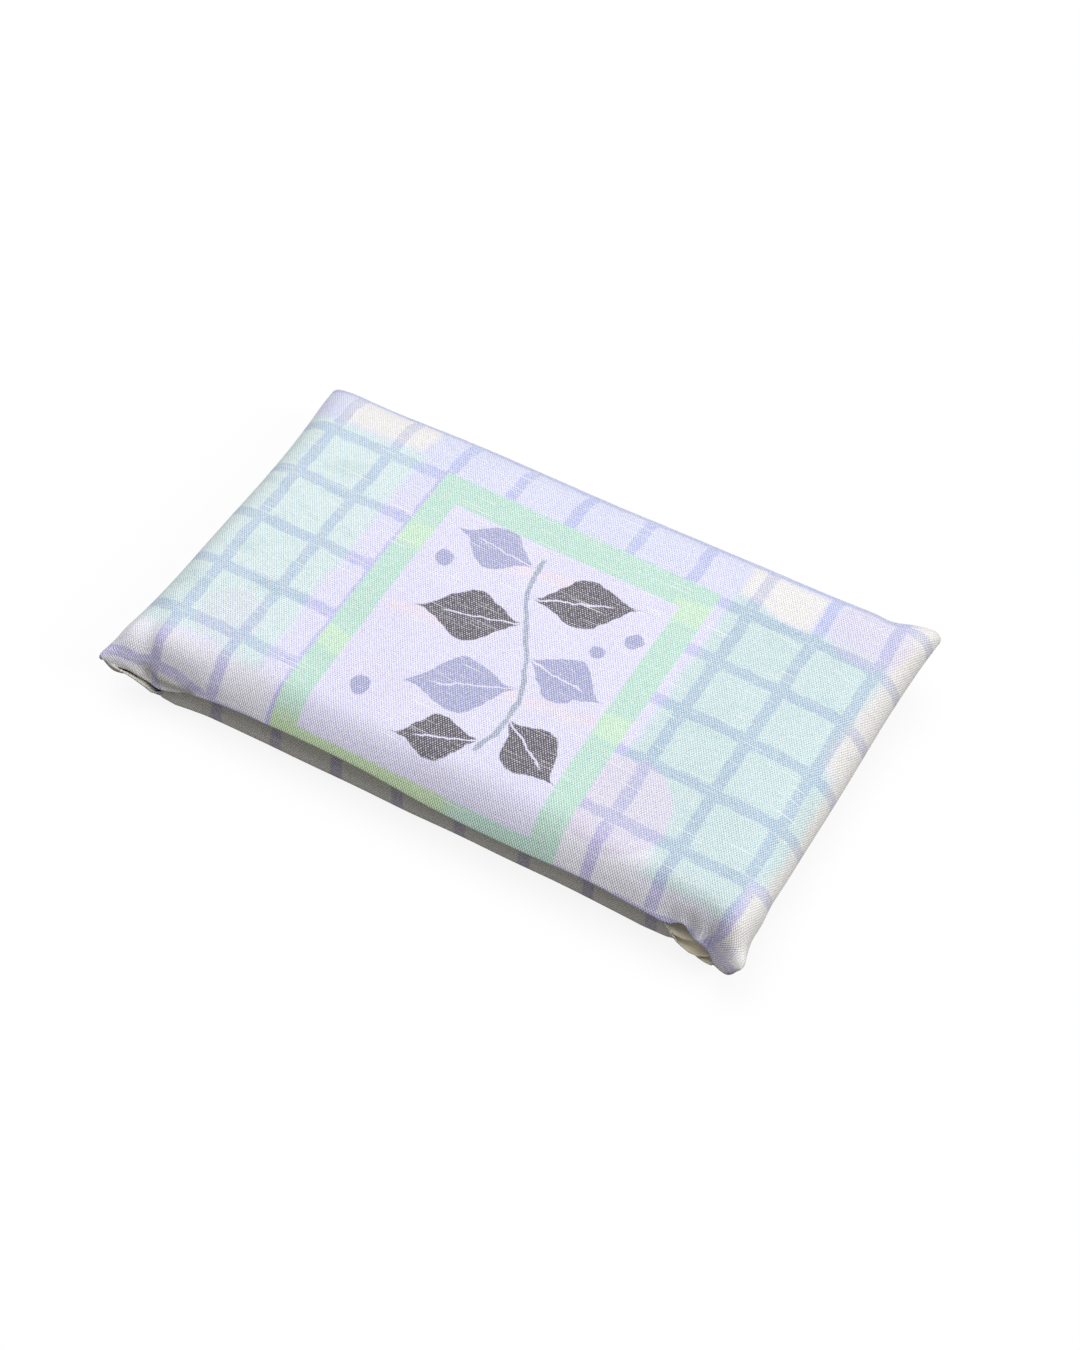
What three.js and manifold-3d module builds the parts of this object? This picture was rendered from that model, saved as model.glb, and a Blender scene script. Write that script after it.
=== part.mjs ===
// A gusseted cloth shopping bag, folded up and packed in its flat cloth pouch.
// Millimetres, +Z up. The pouch lies on its lower face, its mouth towards -Y.
import * as THREE from "three";
import { mergeVertices } from "three/addons/utils/BufferGeometryUtils.js";
import Module from "manifold-3d";

const wasm = await Module();
wasm.setup();

// Cloth
const cloth = 0.45; // one layer of the pouch's woven cloth
const clearance = 0.3; // between pieces that lie on each other

// The folded bag
const foldedWidth = 147; // across, along X
const foldedDepth = 86; // from the nose at the mouth to the back fold
const bagPlies = 4; // back-and-forth plies of the bag's body
const panelBulk = 1; // a body panel, itself folded in thirds and pressed
const gussetBulk = 1; // a side gusset or the base, folded in half
const gussetFold = 50; // how far a folded gusset reaches in from the side
const baseFold = 42; // how far the folded base reaches up from the bottom edge
const mouthSetBack = 4; // the bag's own top edge, behind the folded nose
const handleWidth = 25;
const handleGap = 12; // between the two handles
const handleSpan = 124; // length of one ply of a folded handle
const handlePlies = 3;
const handleBulk = 0.85; // a handle is cloth turned in on both sides

// The pouch
const sideRound = 11.2; // width of the rounded border along the side seams
const endRound = 12; // the same along the mouth and the back seam
const seamHeight = 11; // of the seams above the surface it lies on
const lipRise = 2; // the mouth's edges stand this much higher between its corners
const topRoom = 0.4; // slack between the handles and the border of the upper panel
const crown = 2.2; // swell in the middle of the upper panel
const noseRoom = 3.7; // from the folded nose to the lower lip
const lipOverhang = 2; // of the upper lip beyond the lower lip
const lipSideRoom = 2.5; // from the folded bag's side to the end of a lip
const hemWidth = 8; // turned-under hem along each lip
const hemLayers = 2;
const lipLength = 32.5; // from the upper lip's bend line to its edge
const sideTip = 2; // how far a corner stands out past the middle of a side
const backTip = 1.2; // the same at the back
const lipTip = 2.4; // and at the mouth, which is drawn in between its corners
const bindingWidth = 7; // bound seam allowance inside the pouch
const bindingBulk = 1.4;
const bindingEndRoom = 9; // from the end of a binding to the corner

// Facets
const panelColumns = 24;
const panelRows = 18;
const borderSteps = 5; // across a panel's rounded border
const turnFacets = 6; // round one fold
const bindingSteps = 10;

// Sizes that follow
const plyPitch = 2 * panelBulk + gussetBulk + 3 * clearance;
const sheetOffset = (panelBulk + gussetBulk) / 2 + clearance; // body panel from the middle of its ply
const turnReach = plyPitch - clearance / 2; // outside radius of a fold
const bagBase = cloth + clearance + (plyPitch - clearance) / 2; // middle of the lowest ply
const bagTop = cloth + clearance + bagPlies * plyPitch - clearance;
const handlePitch = handleBulk + clearance;
const handleBase = bagTop + clearance + handleBulk / 2;
const handleTop = bagTop + clearance + handlePlies * handlePitch - clearance;
const flatTop = handleTop + topRoom + cloth;
const seamGap = 2 * cloth + clearance; // between the two panels' edges
const lipHalfWidth = foldedWidth / 2 + lipSideRoom;
const sideReach = foldedWidth / 2 + sideRound - clearance;
const backReach = foldedDepth / 2 - turnReach + endRound;
const lowerLipReach = foldedDepth / 2 + noseRoom;
const upperLipReach = lowerLipReach + lipOverhang;
const bendLine = lipLength - upperLipReach; // the upper lip's hinge, in Y
const lowerLipStart = endRound - lowerLipReach; // where the lower panel leaves the surface, in Y
const centring = (upperLipReach + lipTip - backReach - backTip) / 2; // puts the origin mid-length

const colours = {
  printed: 0xd9dcf0,
  lower: 0xd5dfe4,
  cream: 0xf3efe2,
  butter: 0xf3e9d0,
  lilac: 0xd6d2e8,
  tape: 0xe4def0,
};

function clothMaterial(colour) {
  return new THREE.MeshStandardMaterial({ color: colour, roughness: 0.85, metalness: 0 });
}

function piece(name, geometry, colour) {
  const mesh = new THREE.Mesh(geometry, clothMaterial(colour));
  mesh.name = name;
  return mesh;
}

// Solids for cutting
function solidOf(geometry) {
  const bare = geometry.clone();
  bare.deleteAttribute("normal");
  bare.deleteAttribute("uv");
  const merged = mergeVertices(bare, 1e-4);
  return new wasm.Manifold(
    new wasm.Mesh({
      numProp: 3,
      vertProperties: merged.getAttribute("position").array,
      triVerts: new Uint32Array(merged.index.array),
    }),
  );
}

function geometryOf(solid) {
  const mesh = solid.getMesh();
  const geometry = new THREE.BufferGeometry();
  geometry.setAttribute("position", new THREE.BufferAttribute(mesh.vertProperties, 3));
  geometry.setIndex(new THREE.BufferAttribute(mesh.triVerts, 1));
  geometry.computeVertexNormals();
  return geometry;
}

// A block over the middle of the mouth, up to y = back, drawn in by inset on its three cut sides
function mouthBlock(back, inset) {
  const front = -2 * foldedDepth;
  const wide = 2 * (lipHalfWidth - inset);
  const block = new THREE.BoxGeometry(wide, back - inset - front, 4 * flatTop);
  block.translate(0, (back - inset + front) / 2, 0);
  return solidOf(block);
}

// How a border rounds off towards its edge: a quarter ellipse at the seams, a slope down to the
// upper lip, and a wall that stands up to the lower lip like a box's.
const seamCurve = { power: 2, root: 2 };
const upperLipCurve = { power: 2, root: 1 };
const lowerLipCurve = { power: 4, root: 4 };

function roundOff(distance, width, curve) {
  const left = 1 - Math.min(distance / width, 1);
  return (1 - left ** curve.power) ** (1 / curve.root);
}

// The pouch's pillow shape. across runs -1 to 1 along X and along runs -1 (mouth) to 1 (back).
function pillow(across, along, lipReach, lipCurve) {
  const halfWidth = sideReach + sideTip * along ** 4;
  const tip = along > 0 ? backTip : lipTip + upperLipReach - lipReach;
  const reach = (along > 0 ? backReach : lipReach) + tip * across ** 6;
  const fullness =
    roundOff((1 - Math.abs(across)) * halfWidth, sideRound, seamCurve) *
    roundOff((1 - Math.abs(along)) * reach, endRound, along > 0 ? seamCurve : lipCurve);
  const edge = seamHeight + (along < 0 ? lipRise * along ** 2 * (1 - across ** 6) : 0);
  return { x: across * halfWidth, y: along * reach, fullness, edge, fromLip: (1 + along) * reach };
}

function upperFace(across, along) {
  const { x, y, fullness, edge, fromLip } = pillow(across, along, upperLipReach, upperLipCurve);
  const low = edge + seamGap / 2;
  const swell = crown * (1 - across ** 4) * (1 - along ** 2);
  return { point: new THREE.Vector3(x, y, low + (flatTop - low) * fullness + swell), fromLip };
}

function lowerFace(across, along) {
  const { x, y, fullness, edge, fromLip } = pillow(across, along, lowerLipReach, lowerLipCurve);
  return { point: new THREE.Vector3(x, y, (edge - seamGap / 2) * (1 - fullness)), fromLip };
}

function upwardNormal(face, across, along) {
  const step = 1e-3;
  const clampStep = (value) => [Math.max(value - step, -1), Math.min(value + step, 1)];
  const [left, right] = clampStep(across);
  const [front, back] = clampStep(along);
  const sideways = face(right, along).point.sub(face(left, along).point);
  const lengthways = face(across, back).point.sub(face(across, front).point);
  return sideways.cross(lengthways).normalize();
}

// Panel stations lie closer together in the rounded borders. value runs -1 to 1 in equal steps.
function station(value, steps, reach, border) {
  const fromEdge = ((1 - Math.abs(value)) * steps) / 2;
  const inner = (fromEdge - borderSteps) / (steps / 2 - borderSteps);
  const distance =
    inner > 0
      ? border + (reach - border) * inner
      : border * (1 - Math.cos((fromEdge / borderSteps) * (Math.PI / 2)));
  return Math.sign(value) * (1 - distance / reach);
}

// A panel is a thin box laid onto a face, with its thickness inside that face. The hem doubles it
// between the side seams, where it is pressed flat.
// inward is -1 for the upper panel and 1 for the lower one.
function clothPanel(face, inward) {
  const box = new THREE.BoxGeometry(2, 2, 1, panelColumns, panelRows, 1);
  const place = box.getAttribute("position");
  for (let i = 0; i < place.count; i++) {
    const across = station(place.getX(i), panelColumns, sideReach, sideRound);
    const along = station(place.getY(i), panelRows, backReach, endRound);
    const { point, fromLip } = face(across, along);
    const hemmed = along < 0 && fromLip < hemWidth && Math.abs(point.x) < lipHalfWidth;
    const layers = hemmed ? hemLayers : 1;
    if (place.getZ(i) * inward > 0) {
      point.addScaledVector(upwardNormal(face, across, along), inward * layers * cloth);
    }
    place.setXYZ(i, point.x, point.y, point.z);
  }
  return solidOf(box);
}

// A sheet folded back and forth, as an outline in (run, height) drawn out to a width.
// Each side keeps its offset from the middle line, so that nested sheets stay apart round the turns.
function foldSide(fold, offset) {
  const points = [];
  for (let ply = 0; ply < fold.plies; ply++) {
    const outward = ply % 2 === 0;
    const height = fold.base + ply * fold.pitch + (outward ? offset : -offset);
    const turnAt = outward ? fold.back : fold.front;
    const last = ply === fold.plies - 1;
    if (ply === 0) points.push(new THREE.Vector2(fold.start, height));
    points.push(new THREE.Vector2(last ? fold.finish : turnAt, height));
    if (last) break;
    const radius = fold.pitch / 2 + (outward ? -offset : offset);
    const turnMiddle = fold.base + (ply + 0.5) * fold.pitch;
    for (let facet = 1; facet <= turnFacets; facet++) {
      const angle = (facet / turnFacets - 0.5) * Math.PI;
      const run = turnAt + (outward ? 1 : -1) * radius * Math.cos(angle);
      points.push(new THREE.Vector2(run, turnMiddle + radius * Math.sin(angle)));
    }
  }
  return points;
}

function foldedSheet(fold, offset, bulk, width) {
  const right = foldSide(fold, offset - bulk / 2);
  const left = foldSide(fold, offset + bulk / 2).reverse();
  const outline = new THREE.Shape([...right, ...left]);
  return new THREE.ExtrudeGeometry(outline, { depth: width, bevelEnabled: false });
}

// Run along Y and width along X, from x = from
function lieAcross(geometry, from) {
  return geometry.rotateX(Math.PI / 2).rotateZ(Math.PI / 2).translate(from, 0, 0);
}

// Run along X and width along Y, from y = from
function lieAlong(geometry, from, width) {
  return geometry.rotateX(Math.PI / 2).translate(0, from + width, 0);
}

// The bag's body: two panels with the gussets and the base folded in between them
const bodyFold = {
  plies: bagPlies,
  pitch: plyPitch,
  base: bagBase,
  start: lowerLipStart + clearance,
  front: turnReach - foldedDepth / 2,
  back: foldedDepth / 2 - turnReach,
  finish: mouthSetBack - foldedDepth / 2,
};

function bodyPanel(name, side, colour) {
  const sheet = foldedSheet(bodyFold, side * sheetOffset, panelBulk, foldedWidth);
  return piece(name, lieAcross(sheet, -foldedWidth / 2), colour);
}

function gusset(name, from) {
  const fold = { ...bodyFold, start: bodyFold.start + baseFold + clearance };
  return piece(name, lieAcross(foldedSheet(fold, 0, gussetBulk, gussetFold), from), colours.butter);
}

function basePanel() {
  const { start, base } = bodyFold;
  const half = gussetBulk / 2;
  const outline = new THREE.Shape();
  outline.moveTo(start, base - half);
  outline.lineTo(start + baseFold - half, base - half);
  outline.absarc(start + baseFold - half, base, half, -Math.PI / 2, Math.PI / 2);
  outline.lineTo(start, base + half);
  const options = { depth: foldedWidth, bevelEnabled: false, curveSegments: turnFacets };
  const sheet = new THREE.ExtrudeGeometry(outline, options);
  return piece("bag_base_panel", lieAcross(sheet, -foldedWidth / 2), colours.cream);
}

function handle(name, from) {
  const turn = handlePitch / 2 + handleBulk / 2;
  const fold = {
    plies: handlePlies,
    pitch: handlePitch,
    base: handleBase,
    start: -handleSpan / 2,
    front: turn - handleSpan / 2,
    back: handleSpan / 2 - turn,
    finish: handleSpan / 2,
  };
  const sheet = foldedSheet(fold, 0, handleBulk, handleWidth);
  return piece(name, lieAlong(sheet, from, handleWidth), colours.lilac);
}

// A bound seam allowance lies inside the seam: thin where it enters the seam, full further in.
// edgePoint gives the seam line at a share from 0 to 1, and inwards the direction away from it.
function binding(name, edgePoint, inwards) {
  const nose = seamGap - 2 * clearance;
  const section = [
    [clearance, -nose / 2],
    [2 * bindingBulk, -bindingBulk / 2],
    [bindingWidth, -bindingBulk / 2],
    [bindingWidth, bindingBulk / 2],
    [2 * bindingBulk, bindingBulk / 2],
    [clearance, nose / 2],
  ];
  const rings = [];
  for (let step = 0; step <= bindingSteps; step++) {
    const edge = edgePoint(step / bindingSteps);
    const place = ([inset, rise]) =>
      edge.clone().addScaledVector(inwards, inset).setZ(seamHeight + rise);
    rings.push(section.map(place));
  }
  return piece(name, loft(rings), colours.tape);
}

// Closed rings of points joined in order, with flat ends. The section is convex, so each end is a fan.
function loft(rings) {
  const count = rings[0].length;
  const corners = [];
  const last = rings.length - 1;
  for (let step = 0; step < last; step++) {
    for (let i = 0; i < count; i++) {
      const next = (i + 1) % count;
      const [a, b] = [rings[step][i], rings[step][next]];
      const [c, d] = [rings[step + 1][next], rings[step + 1][i]];
      corners.push(a, b, c, a, c, d);
    }
  }
  for (let i = 1; i < count - 1; i++) {
    corners.push(rings[0][0], rings[0][i + 1], rings[0][i]);
    corners.push(rings[last][0], rings[last][i], rings[last][i + 1]);
  }
  const geometry = new THREE.BufferGeometry().setFromPoints(corners);
  geometry.computeVertexNormals();
  return geometry;
}

// Seam lines, each run so that the binding's faces point outwards
function sideSeam(side) {
  return (share) => {
    const from = bindingEndRoom - upperLipReach;
    const to = backReach - bindingEndRoom;
    const run = side < 0 ? 1 - share : share;
    const y = from + (to - from) * run;
    const along = y > 0 ? y / backReach : y / upperLipReach;
    return new THREE.Vector3(side * (sideReach + sideTip * along ** 4), y, 0);
  };
}

function backSeam(share) {
  const reach = foldedWidth / 2 - bindingEndRoom;
  const x = reach * (1 - 2 * share);
  return new THREE.Vector3(x, backReach + backTip * (x / sideReach) ** 6, 0);
}

// Assembly
const upper = clothPanel(upperFace, -1);
const lower = clothPanel(lowerFace, 1);

const pouch = new THREE.Group();
pouch.add(
  piece("pouch_upper_panel", geometryOf(upper.subtract(mouthBlock(bendLine, 0))), colours.printed),
  piece("pouch_upper_lip", geometryOf(upper.intersect(mouthBlock(bendLine, clearance))), colours.printed),
  piece("pouch_lower_panel", geometryOf(lower.subtract(mouthBlock(lowerLipStart, 0))), colours.lower),
  piece("pouch_lower_lip", geometryOf(lower.intersect(mouthBlock(lowerLipStart, clearance))), colours.lower),
  binding("pouch_left_seam_binding", sideSeam(-1), new THREE.Vector3(1, 0, 0)),
  binding("pouch_right_seam_binding", sideSeam(1), new THREE.Vector3(-1, 0, 0)),
  binding("pouch_back_seam_binding", backSeam, new THREE.Vector3(0, -1, 0)),
);

const foldedBag = new THREE.Group();
foldedBag.add(
  bodyPanel("bag_front_panel", 1, colours.cream),
  bodyPanel("bag_back_panel", -1, colours.cream),
  gusset("bag_left_gusset", -foldedWidth / 2),
  gusset("bag_right_gusset", foldedWidth / 2 - gussetFold),
  basePanel(),
  handle("bag_front_handle", -handleGap / 2 - handleWidth),
  handle("bag_back_handle", handleGap / 2),
);

const packedBag = new THREE.Group();
packedBag.add(pouch, foldedBag);
packedBag.position.y = centring;

const part = new THREE.Group();
part.add(packedBag);

export default part;
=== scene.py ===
import math

import bmesh
import bpy
import numpy as np
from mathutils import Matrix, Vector, noise


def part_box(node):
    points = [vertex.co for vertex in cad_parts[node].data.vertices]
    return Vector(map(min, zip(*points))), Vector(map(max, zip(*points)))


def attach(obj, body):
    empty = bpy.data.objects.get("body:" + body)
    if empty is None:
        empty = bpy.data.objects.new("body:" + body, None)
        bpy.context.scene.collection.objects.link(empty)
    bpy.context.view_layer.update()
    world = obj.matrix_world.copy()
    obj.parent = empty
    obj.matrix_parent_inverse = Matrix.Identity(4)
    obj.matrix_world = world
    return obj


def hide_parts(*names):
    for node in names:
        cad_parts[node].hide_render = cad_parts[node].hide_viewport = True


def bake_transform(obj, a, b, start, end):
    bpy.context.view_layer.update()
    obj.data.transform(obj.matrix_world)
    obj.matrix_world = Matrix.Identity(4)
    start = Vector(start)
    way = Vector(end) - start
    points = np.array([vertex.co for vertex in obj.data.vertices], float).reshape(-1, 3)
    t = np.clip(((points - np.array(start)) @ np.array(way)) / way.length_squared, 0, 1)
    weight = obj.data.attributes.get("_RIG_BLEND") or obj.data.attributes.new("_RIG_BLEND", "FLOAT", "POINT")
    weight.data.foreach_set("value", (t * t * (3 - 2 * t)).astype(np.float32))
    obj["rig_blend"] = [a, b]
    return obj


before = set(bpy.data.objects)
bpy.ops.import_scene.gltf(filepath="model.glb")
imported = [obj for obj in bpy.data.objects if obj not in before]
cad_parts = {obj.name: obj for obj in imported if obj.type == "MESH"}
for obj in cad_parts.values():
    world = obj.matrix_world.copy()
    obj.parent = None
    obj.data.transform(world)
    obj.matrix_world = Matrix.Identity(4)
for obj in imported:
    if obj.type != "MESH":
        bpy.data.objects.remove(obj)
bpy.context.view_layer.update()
mm = 0.001  # meshes are worked out in millimetres and written in metres
print("stage: frame loaded")


def linkObject(name, data):
    thing = bpy.data.objects.new(name, data)
    bpy.context.collection.objects.link(thing)
    return thing


def meshObject(name, bm, materials):
    mesh = bpy.data.meshes.new(name)
    bm.to_mesh(mesh)
    bm.free()
    for material in materials:
        mesh.materials.append(material)
    return linkObject(name, mesh)


# Camera at the photograph's viewing angle

camera = {
    "azimuth": 30.2,        # degrees round from the front, towards the right
    "elevation": 53.75,
    "lens": 65.33,
    "sensorWidth": 36.0,
    "aim": (11.63, -9.36, 22.55),
    "distance": 577.0,
    "nearest": 0.01,        # m, and nothing nearer is drawn
}


def placeCamera():
    data = bpy.data.cameras.new("photoCamera")
    data.lens = camera["lens"]
    data.sensor_width = camera["sensorWidth"]
    data.clip_start = camera["nearest"]
    turn = math.radians(camera["azimuth"])
    tilt = math.radians(camera["elevation"])
    back = Vector((math.sin(turn) * math.cos(tilt), -math.cos(turn) * math.cos(tilt), math.sin(tilt)))
    viewer = linkObject("photoCamera", data)
    viewer.location = (Vector(camera["aim"]) + camera["distance"] * back) * mm
    viewer.rotation_euler = (-back).to_track_quat("-Z", "Y").to_euler()
    bpy.context.scene.camera = viewer


# Floor, world and lamps

studio = {
    "floorSize": 3.0,
    "floorShown": (0.97, 0.97, 0.97, 1),     # what the camera sees of the floor
    "floorBounce": (0.16, 0.15, 0.125, 1),   # what the floor throws back on the object
    "floorGlow": 0.88,                       # share of plain white in what the camera sees
    "floorRoughness": 0.9,
    "skyColour": (0.97, 0.98, 1.0, 1),
    "skyStrength": 0.33,
    "keyPower": 11.8,
    "keySize": 1.2,
    "keyPlace": (-0.24, 0.28, 1.22),
    "fillPower": 7.7,
    "fillSize": 0.7,
    "fillPlace": (1.05, 0.12, 0.75),
}


def areaLamp(name, place, size, power):
    data = bpy.data.lights.new(name, "AREA")
    data.size = size
    data.energy = power
    lamp = linkObject(name, data)
    lamp.location = place
    lamp.rotation_euler = (-Vector(place)).to_track_quat("-Z", "Y").to_euler()


def seenDirectly(tree):
    # 1 for the camera, glossy and transmission rays that show the background
    path = tree.nodes.new("ShaderNodeLightPath")
    shown = Term(tree, path.outputs["Is Camera Ray"])
    for ray in ("Is Glossy Ray", "Is Transmission Ray"):
        shown = shown.math("MAXIMUM", Term(tree, path.outputs[ray]))
    return shown


def blendShaders(tree, share, first, second, output):
    blend = tree.nodes.new("ShaderNodeMixShader")
    plug(tree, blend.inputs[0], share)
    tree.links.new(first.outputs[0], blend.inputs[1])
    tree.links.new(second.outputs[0], blend.inputs[2])
    tree.links.new(blend.outputs[0], tree.nodes[output].inputs[0])


def makeStudio():
    material, tree, shader = newMaterial("paleFloor")
    shown = seenDirectly(tree)
    plug(tree, shader.inputs["Base Color"], mixed(shown, studio["floorBounce"], studio["floorShown"]))
    shader.inputs["Roughness"].default_value = studio["floorRoughness"]
    shader.inputs["Specular IOR Level"].default_value = 0.0
    glow = tree.nodes.new("ShaderNodeEmission")
    blendShaders(tree, shown * studio["floorGlow"], shader, glow, "Material Output")
    bm = bmesh.new()
    bmesh.ops.create_grid(bm, x_segments=2, y_segments=2, size=studio["floorSize"])
    floor = meshObject("floor", bm, [material])

    world = bpy.data.worlds.new("studio")
    bpy.context.scene.world = world
    world.use_nodes = True
    tree = world.node_tree
    sky = tree.nodes["Background"]
    sky.inputs["Color"].default_value = studio["skyColour"]
    sky.inputs["Strength"].default_value = studio["skyStrength"]
    white = tree.nodes.new("ShaderNodeBackground")
    white.inputs["Color"].default_value = (1, 1, 1, 1)
    blendShaders(tree, seenDirectly(tree), sky, white, "World Output")

    areaLamp("keyLamp", studio["keyPlace"], studio["keySize"], studio["keyPower"])
    areaLamp("fillLamp", studio["fillPlace"], studio["fillSize"], studio["fillPower"])
    bpy.context.scene.view_settings.view_transform = "Standard"
    print("stage: studio lit")


# Shader values that add, multiply and compare like numbers

class Term:
    def __init__(self, tree, socket):
        self.tree = tree
        self.socket = socket

    def math(self, operation, *others):
        node = self.tree.nodes.new("ShaderNodeMath")
        node.operation = operation
        for entry, value in zip(node.inputs, (self, *others)):
            plug(self.tree, entry, value)
        return Term(self.tree, node.outputs[0])

    def __add__(self, other):
        return self.math("ADD", other)

    def __sub__(self, other):
        return self.math("SUBTRACT", other)

    def __mul__(self, other):
        return self.math("MULTIPLY", other)

    def __truediv__(self, other):
        return self.math("DIVIDE", other)

    def __abs__(self):
        return self.math("ABSOLUTE")

    def nearest(self, pitch):
        # distance to the nearest multiple of the pitch
        return self.math("PINGPONG", pitch / 2)


def plug(tree, entry, value):
    if isinstance(value, Term):
        tree.links.new(value.socket, entry)
    else:
        entry.default_value = value


def ramp(value, low, high):
    # smooth step from 0 at low to 1 at high, falling where low is above high
    node = value.tree.nodes.new("ShaderNodeMapRange")
    node.interpolation_type = "SMOOTHSTEP"
    plug(value.tree, node.inputs["Value"], value)
    plug(value.tree, node.inputs["From Min"], low)
    plug(value.tree, node.inputs["From Max"], high)
    return Term(value.tree, node.outputs["Result"])


def vector(x, y, z=0.0):
    node = x.tree.nodes.new("ShaderNodeCombineXYZ")
    for entry, value in zip(node.inputs, (x, y, z)):
        plug(x.tree, entry, value)
    return Term(x.tree, node.outputs[0])


def cloudy(place, wave, detail=2.0):
    # three independent noises about zero, each with the given wavelength
    tree = place.tree
    node = tree.nodes.new("ShaderNodeTexNoise")
    node.inputs["Scale"].default_value = 1 / wave
    node.inputs["Detail"].default_value = detail
    plug(tree, node.inputs["Vector"], place)
    split = tree.nodes.new("ShaderNodeSeparateColor")
    tree.links.new(node.outputs["Color"], split.inputs[0])
    return [Term(tree, channel) - 0.5 for channel in split.outputs]


def linear(red, green, blue):
    # screen colour, 0 to 255, as the linear colour that shaders take
    shares = [channel / 255 for channel in (red, green, blue)]
    return tuple(s / 12.92 if s <= 0.04045 else ((s + 0.055) / 1.055) ** 2.4 for s in shares) + (1.0,)


def mixed(share, first, second, way="MIX"):
    node = share.tree.nodes.new("ShaderNodeMix")
    node.data_type = "RGBA"
    node.blend_type = way
    plug(share.tree, node.inputs["Factor"], share)
    plug(share.tree, node.inputs[6], first)
    plug(share.tree, node.inputs[7], second)
    return Term(share.tree, node.outputs[2])


def softBox(x, y, box, soft):
    left, right, bottom, top = box
    wide = ramp(x, left - soft, left + soft) * ramp(x, right + soft, right - soft)
    high = ramp(y, bottom - soft, bottom + soft) * ramp(y, top + soft, top - soft)
    return wide * high


def softRound(x, y, centre, radius, soft):
    across = x - centre[0]
    along = y - centre[1]
    distance = (across * across + along * along).math("SQRT")
    return ramp(distance, radius + soft, radius - soft)


def newMaterial(name):
    material = bpy.data.materials.new(name)
    material.use_nodes = True
    tree = material.node_tree
    return material, tree, tree.nodes["Principled BSDF"]


def flatCloth(tree, unit):
    # millimetres across and along the cloth as it was before sewing, from its centre
    node = tree.nodes.new("ShaderNodeUVMap")
    node.uv_map = "flat"
    split = tree.nodes.new("ShaderNodeSeparateXYZ")
    tree.links.new(node.outputs[0], split.inputs[0])
    x = (Term(tree, split.outputs[0]) - 0.5) * unit
    y = (Term(tree, split.outputs[1]) - 0.5) * unit
    return x, y


# Woven cloth: plain weave with flecks of bare fibre and painted glints on its crossings, slubs along the
# weft and a little sheen

weave = {
    "warpPitch": 0.34,      # threads side by side across the cloth, mm
    "weftPitch": 0.50,
    "wander": 0.16,         # how far threads stray
    "wanderWave": 5.0,
    "unevenWave": 0.8,      # threads are thick and thin over this length
    "fleck": linear(252, 252, 250),   # bare fibre on top of a crossing, partly a painted glint
    "fleckRise": (0.30, 0.95),        # heights between which it comes in
    "fleckUneven": 1.7,
    "gap": linear(168, 166, 196),     # shade between threads
    "gapFall": (-0.25, -0.95),
    "gapUneven": 1.2,
    "slubWave": (17.0, 0.34),         # length and width of a slub
    "slubRise": (0.14, 0.22),
    "depth": 0.00018,                 # height of a thread crossing, m
    "relief": (0.5, 0.2, 0.5),        # shares of crossings, slubs and unevenness in the height
    "reliefStrength": 0.9,
    "roughness": (0.82, 0.12),        # middle and spread
    "specular": 0.22,
    "sheen": 0.14,
    "sheenRoughness": 0.5,
    "printedShow": (0.8, 0.55, 0.75),   # how much of the flecks, gaps and slubs shows
    "plainShow": (0.3, 0.3, 0.15),
    "plainFine": 1.7,                 # plain cloth has this many times finer threads
    "plainWash": (30.0, 3.0),         # wavelength and detail of its clouds
    "plainRise": (-0.15, 0.15),
}


def wovenCloth(tree, shader, x, y, colour, show, fine=1.0):
    fleckShare, gapShare, slubShare = show
    x = x * fine
    y = y * fine
    place = vector(x, y)
    stray = cloudy(place, weave["wanderWave"])
    u = x + stray[0] * weave["wander"]
    v = y + stray[1] * weave["wander"]
    crossing = (u * (math.pi / weave["warpPitch"])).math("COSINE")
    crossing = crossing * (v * (math.pi / weave["weftPitch"])).math("COSINE")
    uneven = cloudy(place, weave["unevenWave"], 1.0)
    # flecks on the tops of the crossings: partly bare fibre, partly a painted glint
    fleck = ramp(crossing + uneven[0] * weave["fleckUneven"], *weave["fleckRise"])
    gap = ramp(crossing + uneven[1] * weave["gapUneven"], *weave["gapFall"])
    stretched = vector(x / weave["slubWave"][0], y / weave["slubWave"][1])
    slub = ramp(cloudy(stretched, 1.0, 1.0)[0], *weave["slubRise"])
    woven = mixed(gap * gapShare, colour, weave["gap"], "MULTIPLY")
    woven = mixed(fleck * fleckShare, woven, weave["fleck"])
    woven = mixed(slub * slubShare, woven, weave["fleck"])
    plug(tree, shader.inputs["Base Color"], woven)

    ofCrossing, ofSlub, ofUneven = weave["relief"]
    bump = tree.nodes.new("ShaderNodeBump")
    bump.inputs["Strength"].default_value = weave["reliefStrength"]
    bump.inputs["Distance"].default_value = weave["depth"] / fine ** 2
    plug(tree, bump.inputs["Height"], crossing * ofCrossing + slub * ofSlub + uneven[1] * ofUneven)
    tree.links.new(bump.outputs[0], shader.inputs["Normal"])
    middle, spread = weave["roughness"]
    plug(tree, shader.inputs["Roughness"], uneven[2] * spread + middle)
    shader.inputs["Specular IOR Level"].default_value = weave["specular"]
    shader.inputs["Sheen Weight"].default_value = weave["sheen"]
    shader.inputs["Sheen Roughness"].default_value = weave["sheenRoughness"]


def plainCloth(name, unit, main, second):
    material, tree, shader = newMaterial(name)
    x, y = flatCloth(tree, unit)
    wash = cloudy(vector(x, y), *weave["plainWash"])
    colour = mixed(ramp(wash[0], *weave["plainRise"]), main, second)
    wovenCloth(tree, shader, x, y, colour, weave["plainShow"], weave["plainFine"])
    return material


# The pouch's print: windowpane check, watercolour patches and a framed leaf design, with painted shade on
# the lower panel's front wall.
# Places are in mm from the middle of the check, and a box is its left, right, front and back

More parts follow.
